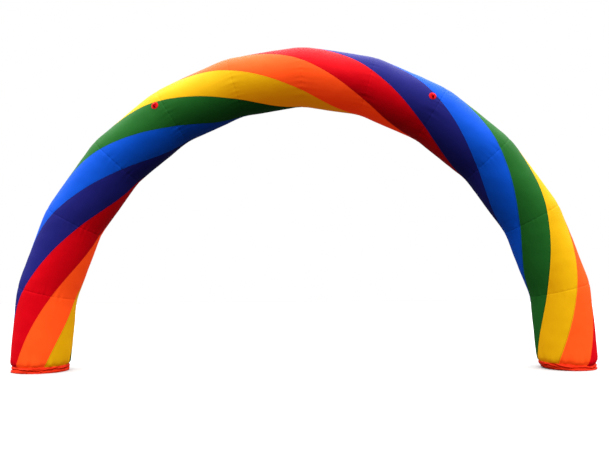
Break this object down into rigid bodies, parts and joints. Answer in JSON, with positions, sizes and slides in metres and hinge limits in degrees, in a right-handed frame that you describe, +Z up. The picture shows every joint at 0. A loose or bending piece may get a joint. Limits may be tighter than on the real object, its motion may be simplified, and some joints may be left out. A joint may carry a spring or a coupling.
{
  "type": "inflatable arch",
  "caption": "Free-standing inflated archway: a thick air tube of mitred rings in spiralling rainbow stripes, with gathered foot bands and two small guy loops.",
  "frame": {"origin": "on the floor, midway between the two feet", "axes": "+X across the archway from its left foot to its right foot as seen from the front, +Z up, front towards -Y"},
  "size_m": [7.9745, 0.7973, 4.3854],
  "materials": {
    "red": "satin red inflatable cloth",
    "orange": "satin orange inflatable cloth",
    "yellow": "satin yellow inflatable cloth",
    "green": "satin green inflatable cloth",
    "blue": "satin bright blue inflatable cloth",
    "navy": "satin navy inflatable cloth",
    "band_orange": "gathered orange-red nylon cloth",
    "webbing_red": "red woven webbing and doubled cloth"
  },
  "bodies": {
    "root": {"ring_01": "orange", "ring_02": "red", "ring_03": "navy", "ring_04": "blue", "ring_05": "green", "ring_06": "yellow", "ring_07": "orange", "ring_08": "red", "ring_09": "navy", "ring_10": "blue", "ring_11": "green", "ring_12": "yellow", "left_foot_band": "band_orange", "right_foot_band": "band_orange", "left_guy_patch": "webbing_red", "right_guy_patch": "webbing_red", "left_guy_loop": "webbing_red", "right_guy_loop": "webbing_red"}
  },
  "joints": []
}
